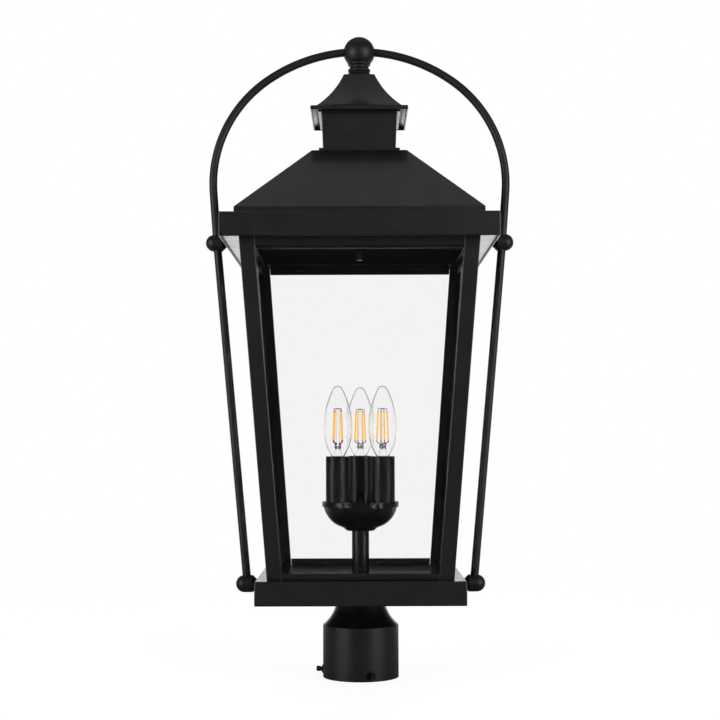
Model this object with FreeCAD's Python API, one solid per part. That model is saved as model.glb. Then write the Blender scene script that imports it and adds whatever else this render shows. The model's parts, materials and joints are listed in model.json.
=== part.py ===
import FreeCAD, Part
import math
import os

from FreeCAD import Vector

# Post top lantern, in millimetres. +Z is up, -Y is the front, and the origin is the
# centre of the lower rim of the cup that slips over the post.

# Post fitter: a cup with a waisted neck, and three screws that clamp the post
bore_radius = 39.25
fitter_wall = 2.25
cup_height = 56.7
neck_radius = 26.0
neck_curve_radius = 40.2
neck_web = 3.0
screw_height = 6.4
screw_radius = 2.42
screw_clearance = 0.08
screw_reach = 10.6
screw_back_off = 0.35
screw_head_radius = 2.9
screw_head_height = 3.8
lock_nut_flats = 9.0
lock_nut_height = 1.8
screw_angles = {"front": 15.0, "rear": 135.0, "left": -105.0}

# Clearances
seat_gap = 0.05
panel_gap = 0.3
hole_gap = 0.15

# Base pan
base_half = 109.35
base_height = 25.35
sheet = 1.6
corner_round = 1.5

# Centre stem, with the hollow threaded rod inside it
rod_radius = 4.8
rod_bore = 3.2
rod_nut_flats = 16.0
rod_nut_height = 4.0
stem_radius = 9.5
stem_wall = 1.5
stem_length = 45.4

# Cluster cup that carries the three sockets
cup_foot_radius = 15.2
cup_foot_height = 3.5
cup_bowl_foot = 19.4
cup_bowl_radius = 40.4
cup_bowl_height = 22.7
cup_bowl_sagitta = 4.6
cup_wall = 1.6
cover_skirt = 5.4
cover_sheet = 1.6
cap_nut_radius = 5.4
cap_nut_height = 5.6

# Sockets and bulbs
socket_circle = 28.4
socket_radius = 13.2
socket_wall = 1.0
socket_height = 50.1
core_recess = 2.0
core_stud_radius = 2.9
core_stud_length = 8.0
core_nut_flats = 10.0
core_nut_height = 2.6
bulb_base_radius = 5.9
bulb_base_clearance = 0.3
bulb_base_height = 23.5
thread_pitch = 3.2
thread_depth = 0.5
contact_radius = 2.3
contact_height = 1.2
bulb_neck_radius = 7.2
bulb_radius = 16.0
bulb_swell_height = 30.0
bulb_upper_radius = 95.0
bulb_tip_radius = 5.9
glass_wall = 0.8
filament_radius = 0.9
filament_length = 32.4
filament_foot = 17.1
filament_circle_low = 6.7
filament_circle_high = 5.1
filament_turns = {"rear": 27.0, "right": 17.0, "left": 40.0}
bulb_stem_radius = 1.3
press_radius = 3.4
press_height = 8.0
wire_radius = 0.3

# Body: four corner posts that spread towards the top, with glass between them
body_setback = 12.2
body_spread = 0.0775
body_height = 354.85
post_leg = 16.0
post_wall = 2.0
pane_thickness = 3.0
pane_top_gap = 4.0
pane_corner_gap = 0.5
rail_wall = 2.0
rail_web = 1.2
rail_lip_recess = 0.4
bottom_rail_height = 6.7
bottom_rail_end_gap = 1.9
top_rail_height = 12.1
top_rail_lip_height = 9.5
top_rail_end_gap = 0.6
clip_offset = 72.0
clip_width = 12.5
clip_height = 6.0
clip_drop = 1.5
clip_wall = 1.4
clip_screw_radius = 1.5
clip_head_radius = 2.4
clip_head_height = 1.2

# Top frame and roof
frame_overhang = 19.15
frame_height = 25.3
ceiling_recess = 2.6
ceiling_ledge = 3.4
frame_shelf = 24.0
crossbar_width = 24.0
roof_setback = 14.4
roof_lip_height = 7.2
roof_top_half = 51.5
roof_rise = 74.3

# Cupola
cupola_base_setback = 7.3
cupola_base_height = 4.2
cupola_setback = 4.3
cupola_flare = 1.7
cupola_height = 45.3
collar_wall = 3.4
collar_height = 5.7
cap_overhang = 8.2
cap_lip_height = 4.4
cap_lip_drop = 5.0
cap_brim_rise = 1.8
cap_brim_width = 6.7
cap_crown_half = 17.0
cap_crown_rise = 42.0
cap_sagitta = 2.8
cap_sheet = 1.6

# Finial, the rod that ties the top to the crossbar, and the hoop through the finial
tie_rod_radius = 3.35
tie_rod_drop = 9.6
tie_nut_flats = 13.0
tie_nut_height = 5.0
finial_foot_radius = 16.4
finial_ring_radius = 12.7
finial_waist_radius = 10.4
finial_foot_height = 6.0
finial_foot_sagitta = 0.5
finial_ring_height = 3.6
finial_waist_height = 3.6
ball_radius = 17.6
ball_rise = 28.5
hoop_bar_radius = 4.5
hoop_crown_rise = 29.5
hoop_crown_radius = 180.0
hoop_spread = 4.5
hoop_crown_angle = 35.0

# Knobs and side rods
knob_radius = 9.4
knob_neck_radius = 5.0
knob_neck_length = 5.0
knob_length = 28.0
knob_rod_offset = 15.5
knob_screw_radius = 2.5
knob_screw_head = 4.5
knob_screw_head_height = 3.0
rod_end_gap = 1.0
rod_fit = 0.1

# Heights, half-widths and places that follow from the sizes above
fitter_radius = bore_radius + fitter_wall
neck_center = neck_radius + neck_curve_radius
base_bottom = cup_height + math.sqrt(neck_curve_radius ** 2 - (neck_center - fitter_radius) ** 2)
base_top = base_bottom + base_height
web_bottom = base_bottom - neck_web
cup_foot = base_top + stem_length
cup_step = cup_foot + cup_foot_height
rim_bottom = cup_step + cup_bowl_height
cover_top = rim_bottom + cover_skirt
cover_bottom = cover_top - cover_sheet
socket_top = cover_top + socket_height
bulb_foot = socket_top + panel_gap
body_foot_half = base_half - body_setback
rail_inset = post_wall + 2 * panel_gap + pane_thickness
ceiling_bottom = base_top + body_height
ceiling_top = ceiling_bottom + sheet
frame_bottom = ceiling_bottom - ceiling_recess
frame_top = frame_bottom + frame_height
roof_top = frame_top + roof_lip_height + roof_rise
cupola_base_top = roof_top + cupola_base_height
cupola_top = cupola_base_top + cupola_height
cap_lip_bottom = cupola_top - cap_lip_drop
cap_lip_top = cap_lip_bottom + cap_lip_height
cap_brim_top = cap_lip_top + cap_brim_rise
cap_top = cap_brim_top + cap_crown_rise
ball_center = cap_top + ball_rise
hoop_crown = cap_top + hoop_crown_rise
upper_knob_height = frame_bottom + frame_height / 2
lower_knob_height = base_bottom + base_height / 2
frame_half = body_foot_half + body_spread * body_height + frame_overhang
roof_half = frame_half - roof_setback
cupola_base_half = roof_top_half - cupola_base_setback
cupola_foot_half = cupola_base_half - cupola_setback
cupola_head_half = cupola_foot_half + cupola_flare
collar_half = cupola_head_half + collar_wall
cap_half = collar_half + cap_overhang
cap_brim_half = cap_half - cap_brim_width
upper_rod_x = frame_half + knob_rod_offset
lower_rod_x = base_half + knob_rod_offset

UP = Vector(0, 0, 1)
RIGHT = Vector(1, 0, 0)
CENTER = Vector(0, 0, 0)


def save(name, shape):
    shape.exportStep("parts/" + name + ".step")


def group(shapes):
    return Part.makeCompound(shapes)


def body_half(z):
    """Half-width of the lantern body over the outside of its corner posts."""
    return body_foot_half + body_spread * (z - base_top)


def square(half, z):
    corners = [(-half, -half), (half, -half), (half, half), (-half, half), (-half, -half)]
    return Part.makePolygon([Vector(x, y, z) for x, y in corners])


def square_taper(low_half, low_z, high_half, high_z):
    return Part.makeLoft([square(low_half, low_z), square(high_half, high_z)], True, True)


def slab(half, low_z, high_z):
    return Part.makeBox(2 * half, 2 * half, high_z - low_z, Vector(-half, -half, low_z))


def cylinder(radius, low_z, high_z, x=0.0, y=0.0):
    return Part.makeCylinder(radius, high_z - low_z, Vector(x, y, low_z))


def bore(radius):
    """A cutter on the axis of the lantern, through whatever it is used on."""
    return cylinder(radius, -ball_center, 2 * ball_center)


def hexagon(flats, low_z, high_z):
    corner = flats / math.sqrt(3)
    angles = [math.radians(60 * i) for i in range(7)]
    points = [Vector(corner * math.cos(a), corner * math.sin(a), low_z) for a in angles]
    return Part.Face(Part.makePolygon(points)).extrude(Vector(0, 0, high_z - low_z))


def line(a, b):
    return Part.makeLine(Vector(a[0], 0, a[1]), Vector(b[0], 0, b[1]))


def arc(a, through, b):
    points = [Vector(p[0], 0, p[1]) for p in (a, through, b)]
    return Part.Arc(*points).toShape()


def on_circle(center, radius, angle):
    """A point of a circle in the XZ plane, with the angle up from +X in radians."""
    return (center[0] + radius * math.cos(angle), center[1] + radius * math.sin(angle))


def circle_arc(center, radius, start, end):
    angles = (start, (start + end) / 2, end)
    return arc(*[on_circle(center, radius, a) for a in angles])


def chord_middle(a, b, sagitta):
    """The middle of an arc from a to b that bows to the right of that direction."""
    length = math.dist(a, b)
    return (
        (a[0] + b[0]) / 2 + (b[1] - a[1]) / length * sagitta,
        (a[1] + b[1]) / 2 - (b[0] - a[0]) / length * sagitta,
    )


def revolve(edges):
    """Turn a closed outline of the XZ plane about the Z axis."""
    return Part.Face(Part.Wire(edges)).revolve(CENTER, UP, 360)


def revolve_points(points):
    closed = points + points[:1]
    return revolve([line(a, b) for a, b in zip(closed, closed[1:])])


def moved(shape, x, y, z):
    copy = shape.copy()
    copy.translate(Vector(x, y, z))
    return copy


def turned(shape, degrees, axis=UP):
    copy = shape.copy()
    copy.rotate(CENTER, axis, degrees)
    return copy


def mirrored(shape):
    return shape.mirror(CENTER, RIGHT)


def four_sides(shape):
    return [turned(shape, 90 * i) for i in range(4)]


def round_upright_edges(shape, half, radius):
    def is_corner(edge):
        ends = [v.Point for v in edge.Vertexes]
        return all(abs(abs(p.x) - half) < 0.01 and abs(abs(p.y) - half) < 0.01 for p in ends)

    return shape.makeFillet(radius, [e for e in shape.Edges if is_corner(e)])


# Post fitter

def fitter_outline(radius, curve):
    """Height and radius where a neck arc of this radius reaches the given radius."""
    rise = math.sqrt(curve ** 2 - (neck_center - radius) ** 2)
    return (radius, base_bottom - rise)


def neck_arc(curve, low, high_z):
    center = (neck_center, base_bottom)
    start = math.atan2(low[1] - center[1], low[0] - center[0])
    end = math.atan2(high_z - center[1], -math.sqrt(curve ** 2 - (high_z - center[1]) ** 2))
    if start < 0:
        start += 2 * math.pi
    if end <= 0:
        end += 2 * math.pi
    return circle_arc(center, curve, start, end), on_circle(center, curve, end)


def post_fitter():
    outer_low = fitter_outline(fitter_radius, neck_curve_radius)
    outer_arc, outer_high = neck_arc(neck_curve_radius, outer_low, base_bottom)
    inner_curve = neck_curve_radius + fitter_wall
    inner_low = fitter_outline(bore_radius, inner_curve)
    inner_arc, inner_high = neck_arc(inner_curve, inner_low, web_bottom)
    hole = rod_radius + hole_gap
    shell = revolve([
        line((bore_radius, 0), (fitter_radius, 0)),
        line((fitter_radius, 0), outer_low),
        outer_arc,
        line(outer_high, (hole, base_bottom)),
        line((hole, base_bottom), (hole, web_bottom)),
        line((hole, web_bottom), inner_high),
        inner_arc,
        line(inner_low, (bore_radius, 0)),
    ])
    for degrees in screw_angles.values():
        shell = shell.cut(radial(screw_radius + screw_clearance, 0, 2 * fitter_radius, degrees))
    return shell


def radial(radius, start, end, degrees):
    """A round bar that points outward at the screws' height, turned from the front."""
    bar = Part.makeCylinder(radius, end - start, Vector(0, -start, screw_height), Vector(0, -1, 0))
    return turned(bar, degrees)


def set_screw(degrees):
    tip = bore_radius + screw_back_off
    end = tip + screw_reach
    shank = radial(screw_radius, tip, end - screw_head_height, degrees)
    head = radial(screw_head_radius, end - screw_head_height, end, degrees)
    return shank.fuse(head)


def lock_nut(degrees):
    nut = hexagon(lock_nut_flats, 0, lock_nut_height)
    nut = turned(nut, 30).cut(cylinder(screw_radius + screw_clearance, 0, lock_nut_height))
    nut = turned(nut, 90, RIGHT)
    return turned(moved(nut, 0, -fitter_radius - panel_gap, screw_height), degrees)


# Base pan, stem and cluster cup

def base_pan():
    pan = round_upright_edges(slab(base_half, base_bottom, base_top), base_half, corner_round)
    pan = pan.cut(slab(base_half - sheet, base_bottom - sheet, base_top - sheet))
    pan = pan.cut(bore(rod_radius + hole_gap))
    return pan.cut(group(screw_holes(base_half, lower_knob_height)))


def base_plate():
    plate = slab(base_half - sheet - panel_gap, base_bottom, base_bottom + sheet)
    return plate.cut(bore(rod_radius + hole_gap))


def threaded_rod():
    low = web_bottom - 1.5 * rod_nut_height
    high = cover_top + cap_nut_height
    return cylinder(rod_radius, low, high).cut(bore(rod_bore))


def rod_nuts():
    hole = bore(rod_radius + hole_gap)
    seats = (web_bottom - rod_nut_height, base_bottom + sheet, cup_foot + cup_wall)
    return group([hexagon(rod_nut_flats, z, z + rod_nut_height).cut(hole) for z in seats])


def stem_tube():
    return cylinder(stem_radius, base_top, cup_foot).cut(bore(stem_radius - stem_wall))


def cluster_cup():
    hole = rod_radius + hole_gap
    low = (cup_bowl_foot, cup_step)
    high = (cup_bowl_radius, rim_bottom)
    inner_low = (cup_bowl_foot - cup_wall, cup_step + cup_wall)
    inner_high = (cup_bowl_radius - cup_wall, rim_bottom)
    return revolve([
        line((hole, cup_foot), (cup_foot_radius, cup_foot)),
        line((cup_foot_radius, cup_foot), low),
        arc(low, chord_middle(low, high, cup_bowl_sagitta), high),
        line(high, (cup_bowl_radius, cover_bottom)),
        line((cup_bowl_radius, cover_bottom), (inner_high[0], cover_bottom)),
        line((inner_high[0], cover_bottom), inner_high),
        arc(inner_high, chord_middle(inner_low, inner_high, cup_bowl_sagitta), inner_low),
        line(inner_low, (cup_foot_radius - cup_wall, cup_foot + cup_wall)),
        line((cup_foot_radius - cup_wall, cup_foot + cup_wall), (hole, cup_foot + cup_wall)),
        line((hole, cup_foot + cup_wall), (hole, cup_foot)),
    ])


def socket_places():
    """Name and centre of each socket: one at the rear and two in front."""
    angles = {"rear": 90, "left": 210, "right": 330}
    places = {}
    for name, degrees in angles.items():
        a = math.radians(degrees)
        places[name] = (socket_circle * math.cos(a), socket_circle * math.sin(a))
    return places


def cluster_cover():
    """Round lid whose skirt goes over the top of the bowl."""
    skirt = cup_bowl_radius + panel_gap
    plate = cylinder(skirt + cover_sheet, rim_bottom, cover_top)
    plate = plate.cut(cylinder(skirt, rim_bottom, cover_bottom))
    plate = plate.cut(bore(rod_radius + hole_gap))
    for x, y in socket_places().values():
        plate = plate.cut(cylinder(core_stud_radius + hole_gap, cover_bottom, cover_top, x, y))
    return plate


def cluster_cap_nut():
    """A cap nut closed by a dome, which clamps the cover to the end of the rod."""
    shoulder = cover_top + cap_nut_height
    body = cylinder(cap_nut_radius, cover_top, shoulder)
    dome = Part.makeSphere(cap_nut_radius, Vector(0, 0, shoulder))
    rod_room = cylinder(rod_radius + seat_gap, cover_top, shoulder + seat_gap)
    return body.fuse(dome).removeSplitter().cut(rod_room)


# Sockets and bulbs, each made on the axis and moved to its place

def socket_sleeve():
    bottom = cover_top
    return cylinder(socket_radius, bottom, socket_top).cut(bore(socket_radius - socket_wall))


def socket_core():
    top = socket_top - core_recess
    floor = bulb_foot - bulb_base_height - contact_height - panel_gap
    core = cylinder(socket_radius - socket_wall - panel_gap, cover_top, top)
    core = core.cut(cylinder(bulb_base_radius + bulb_base_clearance, floor, top))
    return core.fuse(cylinder(core_stud_radius, cover_top - core_stud_length, cover_top))


def socket_nut():
    low = cover_bottom - core_nut_height
    nut = hexagon(core_nut_flats, low, cover_bottom)
    return nut.cut(bore(core_stud_radius + hole_gap))


def bulb_base():
    low = bulb_foot - bulb_base_height
    root = bulb_base_radius - thread_depth
    points = [(0, low - contact_height), (contact_radius, low - contact_height)]
    points += [(contact_radius, low), (root - thread_depth, low)]
    turns = int((bulb_base_height - core_recess - thread_pitch) / thread_pitch)
    for i in range(turns):
        z = low + thread_pitch * (i + 0.5)
        points += [(root, z), (bulb_base_radius, z + thread_pitch / 4)]
        points += [(bulb_base_radius, z + thread_pitch / 2), (root, z + 3 * thread_pitch / 4)]
    collar = bulb_foot - core_recess + panel_gap
    points += [(root, collar - thread_pitch / 4), (bulb_neck_radius - glass_wall, collar)]
    points += [(bulb_neck_radius - glass_wall, bulb_foot), (0, bulb_foot)]
    return revolve_points(points)


def glass_outline(inset):
    """Neck, belly and tip of the bulb's glass, set in from the outside by a wall."""
    waist = bulb_foot + bulb_swell_height
    flare = bulb_radius - bulb_neck_radius
    curve = (flare ** 2 + bulb_swell_height ** 2) / (2 * flare)
    lower_center = (bulb_radius - curve, waist)
    upper_center = (bulb_radius - bulb_upper_radius, waist)
    reach = bulb_upper_radius - bulb_tip_radius
    tip_z = waist + math.sqrt(reach ** 2 - (bulb_upper_radius - bulb_radius) ** 2)
    lean = math.atan2(tip_z - waist, -upper_center[0])
    lower_curve = curve - inset
    start = -math.asin(bulb_swell_height / lower_curve)
    edges = [
        circle_arc(lower_center, lower_curve, start, 0),
        circle_arc(upper_center, bulb_upper_radius - inset, 0, lean),
        circle_arc((0, tip_z), bulb_tip_radius - inset, lean, math.pi / 2),
    ]
    foot = on_circle(lower_center, lower_curve, start)
    return edges, foot, (0, tip_z + bulb_tip_radius - inset)


def bulb_glass():
    outer, outer_foot, outer_tip = glass_outline(0)
    inner, inner_foot, inner_tip = glass_outline(glass_wall)
    return revolve(
        outer + [line(outer_tip, inner_tip)] + inner[::-1] + [line(inner_foot, outer_foot)]
    )


def bar(a, b, radius):
    span = Vector(*b) - Vector(*a)
    return Part.makeCylinder(radius, span.Length, Vector(*a), span)


def bulb_mount(degrees):
    """Glass stem with four light filaments around it, and the wires that hold them."""
    low = bulb_foot + filament_foot
    high = low + filament_length
    hub = high + 1.5 * filament_radius
    press_top = bulb_foot + press_height
    stem = cylinder(press_radius, bulb_foot, press_top)
    stem = stem.fuse(cylinder(bulb_stem_radius, press_top, hub))
    pieces = []
    for i in range(4):
        a = math.radians(degrees + 90 * i)
        c, s = math.cos(a), math.sin(a)
        foot = (filament_circle_low * c, filament_circle_low * s, low)
        head = (filament_circle_high * c, filament_circle_high * s, high)
        pieces.append(bar(foot, head, filament_radius))
        wire_end = (head[0], head[1], high + seat_gap)
        stem = stem.fuse(bar((0, 0, hub - wire_radius), wire_end, wire_radius))
        press = (press_radius * c / 2, press_radius * s / 2, press_top - wire_radius)
        stem = stem.fuse(bar(press, (foot[0], foot[1], low - seat_gap), wire_radius))
    return group([stem] + pieces)


# Body: corner posts, glass and the rails that hold it

def post_profile(z):
    half = body_half(z)
    inner = half - post_wall
    end = half - post_leg
    points = [(half, half), (end, half), (end, inner), (inner, inner), (inner, end), (half, end)]
    return Part.makePolygon([Vector(x, y, z) for x, y in points + points[:1]])


def corner_post():
    return Part.makeLoft([post_profile(base_top), post_profile(ceiling_bottom)], True, True)


def leaning_panel(inset, thickness, low_z, high_z, end_inset):
    """A flat panel parallel to the sloping front of the body, set in from its faces."""
    sections = []
    for z in (low_z, high_z):
        front = body_half(z) - inset
        side = body_half(z) - end_inset
        back = front - thickness
        points = [(-side, -front), (side, -front), (side, -back), (-side, -back)]
        sections.append(Part.makePolygon([Vector(x, y, z) for x, y in points + points[:1]]))
    return Part.makeLoft(sections, True, True)


def glass_pane():
    low = base_top + rail_web + panel_gap
    high = ceiling_bottom - pane_top_gap
    end = post_wall + panel_gap + pane_thickness + pane_corner_gap
    return leaning_panel(post_wall + panel_gap, pane_thickness, low, high, end)


def rail(lip_z, leg_z, web_z, end_gap):
    """Channel over one edge of a pane, between two posts: a lip outside, a leg inside and a
    web that joins them. Each pair holds a low and a high z."""
    end = post_leg + end_gap
    depth = rail_inset + rail_wall - rail_lip_recess
    lip_end = post_leg + panel_gap
    lip = leaning_panel(rail_lip_recess, post_wall - rail_lip_recess, *lip_z, lip_end)
    leg = leaning_panel(rail_inset, rail_wall, *leg_z, end)
    web = leaning_panel(rail_lip_recess, depth, *web_z, end)
    return lip.fuse([leg, web]).removeSplitter()


def bottom_rail():
    sides = (base_top, base_top + bottom_rail_height)
    return rail(sides, sides, (base_top, base_top + rail_web), bottom_rail_end_gap)


def top_rail():
    lip = (ceiling_bottom - top_rail_lip_height, ceiling_bottom)
    leg = (ceiling_bottom - top_rail_height, ceiling_bottom)
    return rail(lip, leg, (ceiling_bottom - rail_web, ceiling_bottom), top_rail_end_gap)


def clip_frame(shape, x):
    """Set a piece made at the origin, facing +Y, on the inner face of the front top rail."""
    z = ceiling_bottom - clip_drop - clip_height / 2
    face = body_half(z) - rail_inset - rail_wall
    tilt = math.degrees(math.atan(body_spread))
    return moved(turned(shape, tilt, RIGHT), x, -face, z)


def both_clips(shape):
    fronts = [clip_frame(shape, x) for x in (-clip_offset, clip_offset)]
    return [piece for front in fronts for piece in four_sides(front)]


def glass_clips():
    corner = Vector(-clip_width / 2, seat_gap, -clip_height / 2)
    plate = Part.makeBox(clip_width, clip_wall, clip_height, corner)
    hole = Part.makeCylinder(clip_screw_radius + hole_gap, 2 * clip_wall, CENTER, Vector(0, 1, 0))
    return group(both_clips(plate.cut(hole)))


def clip_screws():
    start = 2 * seat_gap + clip_wall
    head = Part.makeCylinder(clip_head_radius, clip_head_height, Vector(0, start, 0), Vector(0, 1, 0))
    shank = Part.makeCylinder(clip_screw_radius, start, CENTER, Vector(0, 1, 0))
    return group(both_clips(head.fuse(shank)))


# Top frame, ceiling and roof

def top_frame():
    """Square band with a shelf inside its top edge, and a crossbar for the tie rod."""
    band = round_upright_edges(slab(frame_half, frame_bottom, frame_top), frame_half, corner_round)
    band = band.cut(slab(frame_half - sheet, frame_bottom - sheet, frame_top - sheet))
    corner = Vector(-frame_half, -crossbar_width / 2, frame_top - sheet)
    crossbar = Part.makeBox(2 * frame_half, crossbar_width, sheet, corner)
    band = band.cut(slab(frame_half - frame_shelf, frame_bottom, frame_top).cut(crossbar))
    band = band.cut(bore(tie_rod_radius + hole_gap))
    return band.cut(group(screw_holes(frame_half, upper_knob_height)))


def ceiling_plate():
    """Square ring that closes the frame from below and rests on the posts and rails."""
    opening = body_half(ceiling_bottom) - rail_inset - rail_wall - ceiling_ledge
    plate = slab(frame_half - sheet - seat_gap, ceiling_bottom, ceiling_top)
    return plate.cut(slab(opening, ceiling_bottom - sheet, ceiling_top + sheet))


def roof_form(half, top_half, lip_top, top):
    lip = slab(half, frame_top, lip_top)
    return lip.fuse(square_taper(half, lip_top, top_half, top)).removeSplitter()


def roof():
    lip_top = frame_top + roof_lip_height
    slope = roof_rise / (roof_half - roof_top_half)
    drop = sheet * math.sqrt(1 + slope ** 2)
    inner_half = roof_half - sheet
    inner_lip_top = lip_top - drop + sheet * slope
    inner_top_half = inner_half - (roof_top - sheet - inner_lip_top) / slope
    outer = roof_form(roof_half, roof_top_half, lip_top, roof_top)
    inner = roof_form(inner_half, inner_top_half, inner_lip_top, roof_top - sheet)
    return outer.cut(inner).cut(bore(tie_rod_radius + hole_gap))


# Cupola

def cupola_base():
    plate = slab(cupola_base_half, roof_top, cupola_base_top)
    return plate.cut(bore(tie_rod_radius + hole_gap))


def cupola_outer_half(z):
    spread = (cupola_head_half - cupola_foot_half) / cupola_height
    return cupola_foot_half + spread * (z - cupola_base_top)


def cupola_walls(inset):
    return square_taper(
        cupola_outer_half(cupola_base_top) - inset, cupola_base_top,
        cupola_outer_half(cupola_top) - inset, cupola_top,
    )


def cupola_box():
    return cupola_walls(0).cut(cupola_walls(sheet))


def cupola_collar():
    ring = slab(collar_half, cupola_top - collar_height, cupola_top)
    return ring.cut(cupola_walls(-seat_gap))


def cap_form(inset):
    """Square cap whose four faces dip in between brim and crown."""
    low = (cap_brim_half, cap_brim_top)
    high = (cap_crown_half, cap_top)
    slant = math.dist(low, high)
    shift = (-(high[1] - low[1]) / slant * inset, -(low[0] - high[0]) / slant * inset)
    middle = chord_middle(low, high, -cap_sagitta)
    low, middle, high = [(p[0] + shift[0], p[1] + shift[1]) for p in (low, middle, high)]
    lip = (cap_half - inset, cap_lip_top - inset)
    foot = (lip[0], cap_lip_bottom - inset)

    def flip(p):
        return (-p[0], p[1])

    outline = Part.Wire([
        line(flip(foot), foot),
        line(foot, lip),
        line(lip, low),
        arc(low, middle, high),
        line(high, flip(high)),
        arc(flip(high), flip(middle), flip(low)),
        line(flip(low), flip(lip)),
        line(flip(lip), flip(foot)),
    ])
    bar_shape = Part.Face(outline).extrude(Vector(0, 4 * cap_half, 0))
    bar_shape = moved(bar_shape, 0, -2 * cap_half, 0)
    return bar_shape.common(turned(bar_shape, 90))


def cupola_cap():
    shell = cap_form(0).cut(cap_form(cap_sheet))
    return shell.cut(bore(tie_rod_radius + hole_gap))


# Finial, tie rod and hoop

def finial_neck():
    z0 = cap_top
    z1 = z0 + finial_foot_height
    z2 = z1 + finial_ring_height
    z3 = z2 + finial_waist_height
    z4 = z3 + finial_ring_height
    hole = tie_rod_radius + hole_gap
    edge = (finial_ring_radius + finial_waist_radius) / 2
    foot = (finial_foot_radius, z0)
    neck = revolve([
        line((hole, z0), foot),
        arc(foot, chord_middle(foot, (edge, z1), -finial_foot_sagitta), (edge, z1)),
        arc((edge, z1), (finial_ring_radius, (z1 + z2) / 2), (edge, z2)),
        arc((edge, z2), (finial_waist_radius, (z2 + z3) / 2), (edge, z3)),
        arc((edge, z3), (finial_ring_radius, (z3 + z4) / 2), (edge, z4)),
        line((edge, z4), (hole, z4)),
        line((hole, z4), (hole, z0)),
    ])
    return neck.cut(Part.makeSphere(ball_radius, Vector(0, 0, ball_center)))


def tie_rod_top():
    return hoop_crown - hoop_bar_radius - 2 * rod_fit


def finial_ball():
    ball = Part.makeSphere(ball_radius, Vector(0, 0, ball_center))
    ball = ball.cut(cylinder(tie_rod_radius + rod_fit, cap_top, tie_rod_top() + rod_fit))
    return ball.cut(sweep(hoop_path(), hoop_bar_radius + rod_fit))


def tie_rod():
    return cylinder(tie_rod_radius, ceiling_bottom - tie_rod_drop, tie_rod_top())


def tie_rod_nuts():
    """A nut under the crossbar and one on the cupola's base."""
    hole = bore(tie_rod_radius + hole_gap)
    seats = (frame_top - sheet - tie_nut_height, cupola_base_top)
    return group([hexagon(tie_nut_flats, z, z + tie_nut_height).cut(hole) for z in seats])


def hoop_edges():
    """Straight leg up from the knob, side arc and crown arc of the hoop's centre line."""
    crown_center = (0, hoop_crown - hoop_crown_radius)
    turn = math.pi / 2 - math.radians(hoop_crown_angle)
    widest = upper_rod_x + hoop_spread
    side_radius = (widest - hoop_crown_radius * math.cos(turn)) / (1 - math.cos(turn))
    side_center = on_circle(crown_center, hoop_crown_radius - side_radius, turn)
    foot = (upper_rod_x, upper_knob_height + rod_end_gap)
    reach = (foot[0] - side_center[0], foot[1] - side_center[1])
    distance = math.hypot(*reach)
    touch = math.atan2(reach[1], reach[0]) + math.acos(side_radius / distance)
    leg = line(foot, on_circle(side_center, side_radius, touch))
    side = circle_arc(side_center, side_radius, touch, turn)
    crown = circle_arc(crown_center, hoop_crown_radius, turn, math.pi - turn)
    return leg, side, crown


def hoop_path():
    leg, side, crown = hoop_edges()
    return Part.Wire([leg, side, crown, mirrored(side), mirrored(leg)])


def sweep(path, radius):
    start = path.OrderedVertexes[0].Point
    direction = path.OrderedEdges[0].tangentAt(path.OrderedEdges[0].FirstParameter)
    ring = Part.Wire(Part.makeCircle(radius, start, direction))
    return path.makePipeShell([ring], True, False)


# Knobs, the screws behind them, and the side rods

def screw_line(half, height, start, end, radius):
    return Part.makeCylinder(radius, end - start, Vector(half + start, 0, height), RIGHT)


def screw_holes(half, height):
    hole = screw_line(half, height, -2 * sheet, sheet, knob_screw_radius + hole_gap)
    return [hole, mirrored(hole)]


def knob_screws_at(half, height):
    tip = knob_rod_offset - hoop_bar_radius - 2 * rod_fit
    shank = screw_line(half, height, -sheet - seat_gap, tip - seat_gap, knob_screw_radius)
    start = -sheet - seat_gap - knob_screw_head_height
    head = screw_line(half, height, start, -sheet - seat_gap, knob_screw_head)
    screw = head.fuse(shank)
    return [screw, mirrored(screw)]


def knob_screws():
    upper = knob_screws_at(frame_half, upper_knob_height)
    return group(upper + knob_screws_at(base_half, lower_knob_height))


def side_bar(low_z, high_z, radius):
    """A bar on the sloping line between the centres of a lower and an upper knob."""
    slope = (upper_rod_x - lower_rod_x) / (upper_knob_height - lower_knob_height)
    ends = [(lower_rod_x + slope * (z - lower_knob_height), 0, z) for z in (low_z, high_z)]
    return bar(ends[0], ends[1], radius)


def side_rod():
    return side_bar(lower_knob_height, upper_knob_height - rod_end_gap, hoop_bar_radius)


def knob(half, height):
    """Domed knob on a narrower neck, made upright and laid along +X on its wall."""
    shoulder = knob_neck_length + knob_radius - knob_neck_radius
    dome = knob_length - knob_radius
    dome_middle = on_circle((0, dome), knob_radius, math.pi / 4)
    body = revolve([
        line((0, 0), (knob_neck_radius, 0)),
        line((knob_neck_radius, 0), (knob_neck_radius, knob_neck_length)),
        line((knob_neck_radius, knob_neck_length), (knob_radius, shoulder)),
        line((knob_radius, shoulder), (knob_radius, dome)),
        arc((knob_radius, dome), dome_middle, (0, knob_length)),
        line((0, knob_length), (0, 0)),
    ])
    tip = knob_rod_offset - hoop_bar_radius - 2 * rod_fit
    body = body.cut(cylinder(knob_screw_radius + rod_fit, 0, tip))
    return moved(turned(body, 90, Vector(0, 1, 0)), half, 0, height)


def upper_knob():
    """A knob with a blind hole from above for the hoop and one from below for the rod."""
    low, high = [v.Point for v in hoop_edges()[0].Vertexes]
    low = low - Vector(0, 0, rod_fit)
    hoop_hole = bar(low, high, hoop_bar_radius + rod_fit)
    side_top = upper_knob_height - rod_end_gap + rod_fit
    side_hole = side_bar(lower_knob_height, side_top, hoop_bar_radius + rod_fit)
    return knob(frame_half, upper_knob_height).cut(side_hole).cut(hoop_hole)


def lower_knob():
    hole = side_bar(lower_knob_height - rod_fit, upper_knob_height, hoop_bar_radius + rod_fit)
    return knob(base_half, lower_knob_height).cut(hole)


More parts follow.
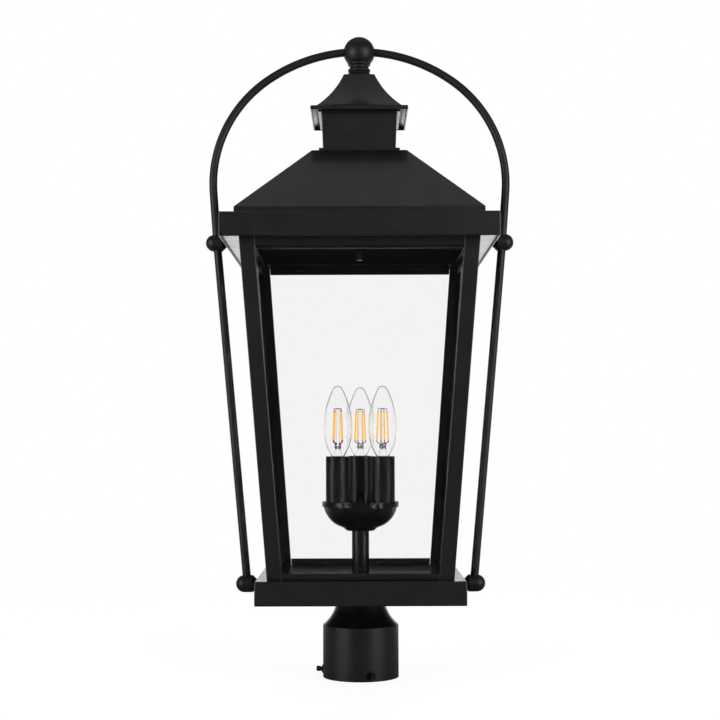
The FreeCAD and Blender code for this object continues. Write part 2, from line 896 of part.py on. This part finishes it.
def save_fitter():
    save("post_fitter", post_fitter())
    save("fitter_lock_nuts", group([lock_nut(d) for d in screw_angles.values()]))
    for name, degrees in screw_angles.items():
        save("set_screw_" + name, set_screw(degrees))


def save_base():
    save("base_pan", base_pan())
    save("base_plate", base_plate())
    save("threaded_rod", threaded_rod())
    save("rod_nuts", rod_nuts())
    save("stem_tube", stem_tube())
    save("cluster_cup", cluster_cup())
    save("cluster_cover", cluster_cover())
    save("cluster_cap_nut", cluster_cap_nut())


def save_sockets():
    places = socket_places()
    save("socket_nuts", group([moved(socket_nut(), x, y, 0) for x, y in places.values()]))
    for name, (x, y) in places.items():
        save("socket_sleeve_" + name, moved(socket_sleeve(), x, y, 0))
        save("socket_core_" + name, moved(socket_core(), x, y, 0))
        save("bulb_base_" + name, moved(bulb_base(), x, y, 0))
        save("bulb_glass_" + name, moved(bulb_glass(), x, y, 0))
        save("bulb_mount_" + name, moved(bulb_mount(filament_turns[name]), x, y, 0))


def save_body():
    sides = ("front", "right", "rear", "left")
    corners = ("rear_right", "rear_left", "front_left", "front_right")
    for name, pane in zip(sides, four_sides(glass_pane())):
        save("glass_pane_" + name, pane)
    for name, post in zip(corners, four_sides(corner_post())):
        save("corner_post_" + name, post)
    save("bottom_rails", group(four_sides(bottom_rail())))
    save("top_rails", group(four_sides(top_rail())))
    save("glass_clips", glass_clips())
    save("clip_screws", clip_screws())


def save_top():
    save("top_frame", top_frame())
    save("ceiling_plate", ceiling_plate())
    save("roof", roof())
    save("cupola_base", cupola_base())
    save("cupola_box", cupola_box())
    save("cupola_collar", cupola_collar())
    save("cupola_cap", cupola_cap())
    save("tie_rod", tie_rod())
    save("tie_rod_nuts", tie_rod_nuts())
    save("finial_neck", finial_neck())
    save("finial_ball", finial_ball())
    save("arch_rod", sweep(hoop_path(), hoop_bar_radius))


def save_rods():
    pairs = {"upper_knob": upper_knob(), "lower_knob": lower_knob(), "side_rod": side_rod()}
    for name, shape in pairs.items():
        save(name + "_right", shape)
        save(name + "_left", mirrored(shape))
    save("knob_screws", knob_screws())


os.makedirs("parts", exist_ok=True)
save_fitter()
save_base()
save_sockets()
save_body()
save_top()
save_rods()
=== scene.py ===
import json
import math

import bmesh
import bpy
from mathutils import Matrix, Vector


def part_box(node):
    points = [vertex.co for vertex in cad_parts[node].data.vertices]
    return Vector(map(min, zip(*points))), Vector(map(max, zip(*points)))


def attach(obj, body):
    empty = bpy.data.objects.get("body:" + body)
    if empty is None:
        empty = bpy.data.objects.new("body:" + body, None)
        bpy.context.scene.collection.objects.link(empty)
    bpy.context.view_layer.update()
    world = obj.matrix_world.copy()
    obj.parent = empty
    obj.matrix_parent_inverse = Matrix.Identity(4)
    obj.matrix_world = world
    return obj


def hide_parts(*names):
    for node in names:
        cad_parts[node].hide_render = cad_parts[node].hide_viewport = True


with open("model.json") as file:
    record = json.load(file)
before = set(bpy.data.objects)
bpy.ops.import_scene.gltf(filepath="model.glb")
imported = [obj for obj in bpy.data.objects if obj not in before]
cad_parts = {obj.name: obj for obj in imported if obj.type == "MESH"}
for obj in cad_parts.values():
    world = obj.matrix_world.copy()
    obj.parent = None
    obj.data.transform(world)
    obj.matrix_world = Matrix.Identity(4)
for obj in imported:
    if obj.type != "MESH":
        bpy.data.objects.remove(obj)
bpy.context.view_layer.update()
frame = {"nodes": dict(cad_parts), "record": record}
NODES = frame["nodes"]

# The camera stands where the photograph was taken from, in metres and degrees
FRAME_PX = 720
FOCAL_PX = 1402
SENSOR_MM = 36.0
CAMERA_PLACE = (0.0, -1.557, 0.2586)
CAMERA_PITCH = 3.27
CAMERA_ROLL = -0.17

FLOOR_HALF = 1.1
FLOOR_DROP = 0.0005
FLOOR_GREY = 0.35
FLOOR_GLOW = 0.88
FLOOR_GLOW_MIRRORED = 0.9

# The studio around the object, as reflections see it
STUDIO_FRONT = 0.17
STUDIO_BACK_LOW = 1.9
STUDIO_BACK_HIGH = 1.25
SHADE_ABOVE = -0.93
SHADE_BELOW = -0.7

# Soft lamps: name, place, target, width, height in metres and power in watts
MIDDLE = (0, 0, 0.35)
LAMPS = (
    ("left", (-1.6, -1.2, 0.5), MIDDLE, 1.3, 1.6, 18.0),
    ("right", (1.6, -1.3, 0.55), MIDDLE, 1.2, 1.5, 17.0),
    ("front_right", (0.75, -1.9, 1.05), (0, 0, 0.5), 0.5, 0.6, 2.0),
    ("top", (0, 0.1, 2.4), MIDDLE, 1.6, 1.6, 1.5),
)

# Scales of the slow change of tone and of sheen, and of the fine grain, in the black coats
TONE_SCALE = 38.0
SHEEN_SCALE = 55.0
GRAIN_SCALE = 1500.0
GRAIN_DEPTH = 0.00006
COAT_ROUGHNESS = 0.12

# Rounding of sheet edges, and how far in from the top frame's side its lip is looked for
EDGE_ROUND = 0.0006
EDGE_ANGLE = math.radians(35)
WELD_REACH = 0.00001
LIP_DEPTH = 0.005

# Inside of each bulb, in metres, up from the foot of its glass
BULB_SIDES = ("rear", "left", "right")
FILAMENT_TURNS = {"rear": 27.0, "right": 17.0, "left": 40.0}
FILAMENT_FOOT = 0.0165
FILAMENT_HEAD = 0.0498
FILAMENT_LOW_CIRCLE = 0.0067
FILAMENT_HIGH_CIRCLE = 0.0051
FILAMENT_RADIUS = 0.00092
CAP_RADIUS = 0.0005
CAP_LENGTH = 0.0010
WIRE_RADIUS = 0.00028
HUB_RISE = 0.0023
HUB_BELOW = 0.0008
HUB_ABOVE = 0.0006
HUB_RADIUS = 0.0007
PRESS_RADIUS = 0.0040
PRESS_FOOT = 0.0002
PRESS_TOP = 0.0078
GLASS_STEM_RADIUS = 0.0021
GLASS_STEM_WALL = 0.0004
LEAD_RADIUS = 0.00045

# Bends of the lead wires: distance from the bulb's axis, sideways, below the filament's foot
LEAD_STEPS = (
    ((0.0067, 0.0, 0.0), (0.0063, 0.0002, 0.0013), (0.0046, -0.0004, 0.0020),
     (0.0030, -0.0012, 0.0028), (0.0041, 0.0006, 0.0039), (0.0024, 0.0014, 0.0046),
     (0.0038, -0.0008, 0.0056), (0.0019, -0.0012, 0.0064), (0.0036, 0.0009, 0.0073),
     (0.0024, 0.0003, 0.0090)),
    ((0.0067, 0.0, 0.0), (0.0065, -0.0002, 0.0011), (0.0050, 0.0005, 0.0019),
     (0.0034, 0.0013, 0.0026), (0.0024, -0.0005, 0.0036), (0.0039, -0.0014, 0.0045),
     (0.0022, 0.0008, 0.0054), (0.0037, 0.0012, 0.0066), (0.0020, -0.0009, 0.0074),
     (0.0025, 0.0002, 0.0090)),
)


def linear(*srgb):
    """A colour written as 0-255 screen values, as the shader wants it."""
    low = [v / 255 / 12.92 for v in srgb]
    high = [((v / 255 + 0.055) / 1.055) ** 2.4 for v in srgb]
    return tuple(b if v > 10 else a for v, a, b in zip(srgb, low, high)) + (1.0,)


# Materials

def new_material(name):
    material = bpy.data.materials.new(name)
    material.use_nodes = True
    return material, material.node_tree, material.node_tree.nodes["Principled BSDF"]


def add_noise(tree, scale, detail=3.0, roughness=0.55):
    place = tree.nodes.new("ShaderNodeTexCoord")
    noise = tree.nodes.new("ShaderNodeTexNoise")
    noise.inputs["Scale"].default_value = scale
    noise.inputs["Detail"].default_value = detail
    noise.inputs["Roughness"].default_value = roughness
    tree.links.new(place.outputs["Object"], noise.inputs["Vector"])
    return noise.outputs["Fac"]


def add_range(tree, value, low, high, start=0.3, end=0.7):
    """Steer a value that runs from start to end smoothly from low to high."""
    remap = tree.nodes.new("ShaderNodeMapRange")
    remap.interpolation_type = "SMOOTHSTEP"
    remap.inputs["From Min"].default_value = start
    remap.inputs["From Max"].default_value = end
    remap.inputs["To Min"].default_value = low
    remap.inputs["To Max"].default_value = high
    tree.links.new(value, remap.inputs["Value"])
    return remap.outputs["Result"]


def add_bump(tree, shader, height, strength, distance):
    bump = tree.nodes.new("ShaderNodeBump")
    bump.inputs["Strength"].default_value = strength
    bump.inputs["Distance"].default_value = distance
    tree.links.new(height, bump.inputs["Height"])
    tree.links.new(bump.outputs["Normal"], shader.inputs["Normal"])


def add_two_tone(tree, shader, value, dark, light):
    ramp = tree.nodes.new("ShaderNodeValToRGB")
    ramp.color_ramp.elements[0].position = 0.3
    ramp.color_ramp.elements[0].color = dark
    ramp.color_ramp.elements[1].position = 0.7
    ramp.color_ramp.elements[1].color = light
    tree.links.new(value, ramp.inputs["Fac"])
    tree.links.new(ramp.outputs["Color"], shader.inputs["Base Color"])


def powder_coat(name, dark, light, rough_low, rough_high, grain=0.12, coat=0.0, specular=0.5):
    """Satin black coat: fine grain in the surface, slow change of tone and sheen."""
    material, tree, shader = new_material(name)
    shader.inputs["Specular IOR Level"].default_value = specular
    shader.inputs["Coat Weight"].default_value = coat
    shader.inputs["Coat Roughness"].default_value = COAT_ROUGHNESS
    add_two_tone(tree, shader, add_noise(tree, TONE_SCALE), dark, light)
    sheen = add_range(tree, add_noise(tree, SHEEN_SCALE), rough_low, rough_high)
    tree.links.new(sheen, shader.inputs["Roughness"])
    add_bump(tree, shader, add_noise(tree, GRAIN_SCALE, 4.0, 0.6), grain, GRAIN_DEPTH)
    return material


def metal(name, dark, light, rough_low, rough_high, scale=300.0):
    """Plated or blackened metal with a fine change of tone and sheen."""
    material, tree, shader = new_material(name)
    shader.inputs["Metallic"].default_value = 1.0
    add_two_tone(tree, shader, add_noise(tree, scale), dark, light)
    sheen = add_range(tree, add_noise(tree, scale * 2), rough_low, rough_high)
    tree.links.new(sheen, shader.inputs["Roughness"])
    add_bump(tree, shader, add_noise(tree, scale * 4), 0.15, 0.00003)
    return material


def clear_glass(name, tint, ior, wave_scale, wave_strength):
    """Clear glass with the faint unevenness of drawn sheet or blown glass."""
    material, tree, shader = new_material(name)
    shader.inputs["Base Color"].default_value = tint
    shader.inputs["Transmission Weight"].default_value = 1.0
    shader.inputs["IOR"].default_value = ior
    shader.inputs["Roughness"].default_value = 0.0
    add_bump(tree, shader, add_noise(tree, wave_scale, 1.0), wave_strength, 0.0002)
    return material


def phosphor(name, dark, light, glow):
    """The amber coating of a light filament, with a painted glow that brightens it although the
    bulb is off.
    """
    material, tree, shader = new_material(name)
    add_two_tone(tree, shader, add_noise(tree, 400.0), dark, light)
    shader.inputs["Roughness"].default_value = 0.55
    # Painted glow: the unlit filament is given light of its own
    shader.inputs["Emission Color"].default_value = light
    shader.inputs["Emission Strength"].default_value = glow
    return material


BLACK = powder_coat("satin_black", linear(19, 19, 20), linear(23, 23, 24), 0.32, 0.40, coat=0.4)
# Smoother copy of the black coat, with a darker colour that is painted shade for the cluster
# inside the glass
BLACK_SMOOTH_SHADED = powder_coat(
    "smooth_black_painted_shade", linear(13, 13, 14), linear(17, 17, 18), 0.20, 0.26, grain=0.05
)
BLACK_ROUND = powder_coat("rod_black", linear(19, 19, 20), linear(23, 23, 24), 0.42, 0.50)
# A darker coat that reflects almost nothing: painted shade for the inner sides of the top frame's
# lip
BLACK_PAINTED_SHADE = powder_coat(
    "painted_shade_black", linear(16, 16, 17), linear(19, 19, 20), 0.6, 0.7, specular=0.03
)
SOCKET_BLACK = powder_coat(
    "socket_black", linear(20, 20, 21), linear(23, 23, 24), 0.36, 0.42, grain=0.05
)
BLACK_SCREW = metal("black_screw", linear(34, 34, 36), linear(56, 56, 58), 0.32, 0.5)
ZINC = metal("zinc", linear(150, 152, 155), linear(186, 187, 188), 0.3, 0.45)
NICKEL = metal("nickel", linear(176, 172, 166), linear(205, 200, 192), 0.18, 0.32)
WIRE = metal("wire", linear(30, 27, 25), linear(60, 55, 52), 0.3, 0.45)
# Amber filaments with a painted glow
AMBER_PAINTED_GLOW = phosphor("amber_painted_glow", linear(244, 172, 70), linear(253, 194, 92), 0.8)
PANE = clear_glass("pane_glass", linear(251, 251, 251), 1.22, 6.0, 0.015)
BULB_GLASS = clear_glass("blown_glass", linear(254, 254, 254), 1.12, 40.0, 0.02)

SLOT_LOOKS = {
    "black_powder_coat": BLACK,
    "black_hardware": BLACK_SCREW,
    "zinc_steel": ZINC,
    "socket_black": SOCKET_BLACK,
    "bulb_cap": NICKEL,
    "bulb_glass": BULB_GLASS,
    "window_glass": PANE,
    "filament": AMBER_PAINTED_GLOW,
}

# The cluster inside the glass is coated smoother than the sheet metal around it, and its colour
# is painted darker as shade inside the glass
SMOOTH_PIECES = ("cluster_cup", "cluster_cover", "cluster_cap_nut", "stem_tube")

# Rods, knobs and turned pieces, whose highlights are softer than the sheet metal's
ROUND_PIECES = (
    "arch_rod", "side_rod_left", "side_rod_right", "upper_knob_left", "upper_knob_right",
    "lower_knob_left", "lower_knob_right", "finial_ball", "finial_neck",
)

# Pieces bent or cut from sheet, whose edges catch the light
SHEET_PIECES = (
    "base_pan", "top_frame", "ceiling_plate", "roof", "cupola_base", "cupola_box",
    "cupola_collar", "cupola_cap", "bottom_rails", "top_rails",
    "corner_post_front_left", "corner_post_front_right", "corner_post_rear_left",
    "corner_post_rear_right",
)


def dress_cad_nodes():
    slots = {part["node"]: part["material_slot"] for part in frame["record"]["subparts"]}
    for name, node in NODES.items():
        look = SLOT_LOOKS[slots[name]]
        if name in SMOOTH_PIECES:
            look = BLACK_SMOOTH_SHADED
        if name in ROUND_PIECES:
            look = BLACK_ROUND
        node.data.materials.clear()
        node.data.materials.append(look)


def paint_lip_shade():
    """Give the inner sides of the top frame's lip, below its shelf, a darker coat that reflects
    almost nothing: painted shade.
    """
    node = NODES["top_frame"]
    node.data.materials.append(BLACK_PAINTED_SHADE)
    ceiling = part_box("ceiling_plate")[0].z
    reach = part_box("top_frame")[1].x - LIP_DEPTH
    turn = node.matrix_world.to_3x3()
    # Faces on the lip's inner sides below the ceiling get the painted shade coat
    for face in node.data.polygons:
        centre = node.matrix_world @ face.center
        facing = (turn @ face.normal).normalized()
        low = centre.z < ceiling and max(abs(centre.x), abs(centre.y)) > reach
        if low and facing.x * centre.x + facing.y * centre.y < 0 and abs(facing.z) < 0.5:
            face.material_index = 1


def round_edges():
    for name in SHEET_PIECES:
        node = NODES[name]
        weld = node.modifiers.new("weld", "WELD")
        weld.merge_threshold = WELD_REACH
        bevel = node.modifiers.new("round", "BEVEL")
        bevel.width = EDGE_ROUND
        bevel.segments = 2
        bevel.limit_method = "ANGLE"
        bevel.angle_limit = EDGE_ANGLE


# Shapes of the pieces that the scene adds, built around the Z axis

def circle(sides):
    angles = [2 * math.pi * k / sides for k in range(sides)]
    return [(math.cos(a), math.sin(a)) for a in angles]


def tube(mesh, path, radius, sides=12):
    """A closed round bar along a list of points, whose rings don't twist against each other."""
    points = [Vector(p) for p in path]
    rings = []
    turn = (points[1] - points[0]).to_track_quat("Z", "X")
    for i, point in enumerate(points):
        along = points[min(i + 1, len(points) - 1)] - points[max(i - 1, 0)]
        turn = (turn @ Vector((0, 0, 1))).rotation_difference(along) @ turn
        around = [turn @ Vector((x, y, 0)) for x, y in circle(sides)]
        rings.append([mesh.verts.new(point + spoke * radius) for spoke in around])
    join_rings(mesh, rings)
    mesh.faces.new(rings[0][::-1])
    mesh.faces.new(rings[-1])


def smooth_path(points, pieces=4):
    """The points of a smooth curve through the given ones, with some pieces per stretch."""
    path = []
    ends = [points[0]] + points + [points[-1]]
    for a, b, c, d in zip(ends, ends[1:], ends[2:], ends[3:]):
        for k in range(pieces):
            t = k / pieces
            square = (2 * a - 5 * b + 4 * c - d) * t ** 2
            cube = (3 * b - a - 3 * c + d) * t ** 3
            path.append((2 * b + (c - a) * t + square + cube) * 0.5)
    return path + [points[-1]]


def join_rings(mesh, rings):
    for low, high in zip(rings, rings[1:]):
        for k in range(len(low)):
            n = (k + 1) % len(low)
            mesh.faces.new((low[k], low[n], high[n], high[k]))


def lathe(mesh, outline, sides=40):
    """A ring-shaped solid turned from a closed outline of (radius, height) points."""
    rings = []
    for radius, height in outline:
        points = [(radius * x, radius * y, height) for x, y in circle(sides)]
        rings.append([mesh.verts.new(p) for p in points])
    join_rings(mesh, rings + rings[:1])


def add_piece(name, mesh, look, body, place):
    bmesh.ops.recalc_face_normals(mesh, faces=mesh.faces)
    data = bpy.data.meshes.new(name)
    mesh.to_mesh(data)
    mesh.free()
    data.materials.append(look)
    data.shade_smooth()
    data.set_sharp_from_angle(angle=EDGE_ANGLE)
    piece = bpy.data.objects.new(name, data)
    piece.location = place
    bpy.context.scene.collection.objects.link(piece)
    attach(piece, body)
    return piece


# Inside of the bulbs: four light filaments on wires around a glass stem

def filament_ends(turn):
    """Lower and upper end of each filament, which lean inwards to the top."""
    ends = []
    for i in range(4):
        a = math.radians(turn + 90 * i)
        c, s = math.cos(a), math.sin(a)
        low = Vector((FILAMENT_LOW_CIRCLE * c, FILAMENT_LOW_CIRCLE * s, FILAMENT_FOOT))
        high = Vector((FILAMENT_HIGH_CIRCLE * c, FILAMENT_HIGH_CIRCLE * s, FILAMENT_HEAD))
        ends.append((low, high))
    return ends


def filaments(turn):
    mesh = bmesh.new()
    for low, high in filament_ends(turn):
        along = (high - low).normalized()
        path = [low + along * CAP_LENGTH, high - along * CAP_LENGTH]
        tube(mesh, path, FILAMENT_RADIUS)
    return mesh


def filament_wires(turn):
    """Metal end of each filament, arms to the hub on top and bent wires down to the press."""
    mesh = bmesh.new()
    hub = Vector((0, 0, FILAMENT_HEAD + HUB_RISE))
    for i, (low, high) in enumerate(filament_ends(turn)):
        along = (high - low).normalized()
        tube(mesh, [low, low + along * CAP_LENGTH], CAP_RADIUS)
        tube(mesh, [high - along * CAP_LENGTH, high], CAP_RADIUS)
        elbow = Vector((high.x, high.y, hub.z))
        tube(mesh, [high, elbow, hub], WIRE_RADIUS)
        tube(mesh, lead_path(low, i), LEAD_RADIUS)
    tube(mesh, [hub - Vector((0, 0, HUB_BELOW)), hub + Vector((0, 0, HUB_ABOVE))], HUB_RADIUS)
    return mesh


def lead_path(low, i):
    """A crumpled wire from a filament's foot down to the glass press."""
    out = Vector((low.x, low.y, 0)).normalized()
    aside = Vector((-out.y, out.x, 0)) * (1 if i % 2 else -1)
    points = []
    for reach, sway, drop in LEAD_STEPS[i // 2]:
        points.append(out * reach + aside * sway + Vector((0, 0, low.z - drop)))
    return smooth_path(points)


def glass_stem():
    """Press and hollow stem of clear glass, drawn in from one width to the other."""
    top = FILAMENT_HEAD + HUB_RISE - HUB_BELOW
    outside = [(PRESS_RADIUS, PRESS_FOOT), (PRESS_RADIUS, PRESS_TOP - 0.0016),
               (PRESS_RADIUS * 0.86, PRESS_TOP - 0.0006), (GLASS_STEM_RADIUS * 1.2, PRESS_TOP),
               (GLASS_STEM_RADIUS, PRESS_TOP + 0.001), (GLASS_STEM_RADIUS, top)]
    inside = [(r - GLASS_STEM_WALL, z) for r, z in outside[::-1]]
    mesh = bmesh.new()
    lathe(mesh, outside + inside)
    return mesh


def fill_bulbs():
    for side in BULB_SIDES:
        low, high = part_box("bulb_glass_" + side)
        place = Vector(((low.x + high.x) / 2, (low.y + high.y) / 2, low.z))
        body = "bulb_" + side
        turn = FILAMENT_TURNS[side]
        lit = add_piece("filaments_" + side, filaments(turn), AMBER_PAINTED_GLOW, body, place)
        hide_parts("bulb_mount_" + side)
        add_piece("filament_wires_" + side, filament_wires(turn), WIRE, body, place)
        add_piece("glass_stem_" + side, glass_stem(), BULB_GLASS, body, place)


# The stage: a pale floor, a white surround and soft lights

def floor():
    mesh = bpy.data.meshes.new("floor")
    corners = [(-1, -1), (1, -1), (1, 1), (-1, 1)]
    points = [(x * FLOOR_HALF, y * FLOOR_HALF, -FLOOR_DROP) for x, y in corners]
    mesh.from_pydata(points, [], [(0, 1, 2, 3)])
    plane = bpy.data.objects.new("floor", mesh)
    bpy.context.scene.collection.objects.link(plane)
    mesh.materials.append(floor_material())


def math_node(tree, operation, first, second):
    node = tree.nodes.new("ShaderNodeMath")
    node.operation = operation
    for socket, value in zip(node.inputs, (first, second)):
        if isinstance(value, (int, float)):
            socket.default_value = value
        else:
            tree.links.new(value, socket)
    return node.outputs[0]


def split_place(tree, kind):
    place = tree.nodes.new("ShaderNodeTexCoord")
    parts = tree.nodes.new("ShaderNodeSeparateXYZ")
    tree.links.new(place.outputs[kind], parts.inputs[0])
    return parts.outputs


def seen_directly(tree):
    """1 for what the camera sees straight or through glass, 0 after any bounce, and the
    light path node itself."""
    path = tree.nodes.new("ShaderNodeLightPath")
    bounces = math_node(tree, "ADD", path.outputs["Diffuse Depth"], path.outputs["Glossy Depth"])
    clear = math_node(tree, "LESS_THAN", bounces, 0.5)
    through = math_node(tree, "MULTIPLY", path.outputs["Is Transmission Ray"], clear)
    return math_node(tree, "MAXIMUM", path.outputs["Is Camera Ray"], through), path


def floor_material():
    """A pale floor, white to the camera where no shadow falls. Behind the object it is also
    bright to reflections."""
    material, tree, shader = new_material("floor")
    shader.inputs["Base Color"].default_value = (FLOOR_GREY, FLOOR_GREY, FLOOR_GREY, 1)
    shader.inputs["Roughness"].default_value = 0.9
    shader.inputs["Specular IOR Level"].default_value = 0.1
    direct, path = seen_directly(tree)
    behind = add_range(tree, split_place(tree, "Object")["Y"], 0.0, FLOOR_GLOW_MIRRORED, 0.1, 1.0)
    mirrored = math_node(tree, "MULTIPLY", path.outputs["Is Glossy Ray"], behind)
    seen = math_node(tree, "MAXIMUM", math_node(tree, "MULTIPLY", direct, FLOOR_GLOW), mirrored)
    glow = tree.nodes.new("ShaderNodeEmission")
    tree.links.new(seen, glow.inputs["Strength"])
    add = tree.nodes.new("ShaderNodeAddShader")
    tree.links.new(shader.outputs["BSDF"], add.inputs[0])
    tree.links.new(glow.outputs["Emission"], add.inputs[1])
    tree.links.new(add.outputs["Shader"], tree.nodes["Material Output"].inputs["Surface"])
    return material


def studio_strength(tree, path):
    """Bright behind and dim in front, a little brighter low than high. It is dim again for
    light through the panes, apart from the level rays that show at the edges of the glass."""
    parts = split_place(tree, "Generated")
    back = add_range(tree, parts["Y"], 0.0, 1.0, 0.6, 1.0)
    peak = add_range(tree, parts["Z"], STUDIO_BACK_LOW, STUDIO_BACK_HIGH, -0.1, 0.08)
    light = math_node(tree, "ADD", math_node(tree, "MULTIPLY", back, peak), STUDIO_FRONT)
    above = add_range(tree, parts["Z"], 0.0, SHADE_ABOVE, 0.06, 0.09)
    below = add_range(tree, parts["Z"], SHADE_BELOW, 0.0, -0.07, -0.04)
    shade = math_node(tree, "ADD", above, below)
    shade = math_node(tree, "MULTIPLY", path.outputs["Is Transmission Ray"], shade)
    return math_node(tree, "MULTIPLY", light, math_node(tree, "ADD", shade, 1.0))


def surround():
    """White to the camera and through glass. Reflections see a studio instead."""
    world = bpy.data.worlds.new("surround")
    bpy.context.scene.world = world
    world.use_nodes = True
    tree = world.node_tree
    tree.nodes.clear()
    direct, path = seen_directly(tree)
    white = tree.nodes.new("ShaderNodeBackground")
    white.inputs["Color"].default_value = (1, 1, 1, 1)
    white.inputs["Strength"].default_value = 1.0
    studio = tree.nodes.new("ShaderNodeBackground")
    tree.links.new(studio_strength(tree, path), studio.inputs["Strength"])
    mix = tree.nodes.new("ShaderNodeMixShader")
    out = tree.nodes.new("ShaderNodeOutputWorld")
    tree.links.new(direct, mix.inputs["Fac"])
    tree.links.new(studio.outputs["Background"], mix.inputs[1])
    tree.links.new(white.outputs["Background"], mix.inputs[2])
    tree.links.new(mix.outputs["Shader"], out.inputs["Surface"])


def soft_light(name, place, target, width, height, power):
    data = bpy.data.lights.new(name, "AREA")
    data.shape = "RECTANGLE"
    data.size = width
    data.size_y = height
    data.energy = power
    light = bpy.data.objects.new(name, data)
    light.location = place
    light.rotation_euler = (Vector(target) - Vector(place)).to_track_quat("-Z", "Y").to_euler()
    bpy.context.scene.collection.objects.link(light)


def lights():
    for lamp in LAMPS:
        soft_light(*lamp)


def camera():
    data = bpy.data.cameras.new("camera")
    data.sensor_width = SENSOR_MM
    data.lens = FOCAL_PX / FRAME_PX * SENSOR_MM
    data.clip_start = 0.05
    data.clip_end = 50
    eye = bpy.data.objects.new("camera", data)
    tilt = Matrix.Rotation(math.radians(90 + CAMERA_PITCH), 3, "X")
    roll = Matrix.Rotation(math.radians(CAMERA_ROLL), 3, "Z")
    eye.rotation_euler = (tilt @ roll).to_euler()
    eye.location = CAMERA_PLACE
    bpy.context.scene.collection.objects.link(eye)
    bpy.context.scene.camera = eye


camera()
surround()
floor()
lights()
dress_cad_nodes()
paint_lip_shade()
round_edges()
fill_bulbs()
bpy.context.scene.view_settings.view_transform = "Standard"
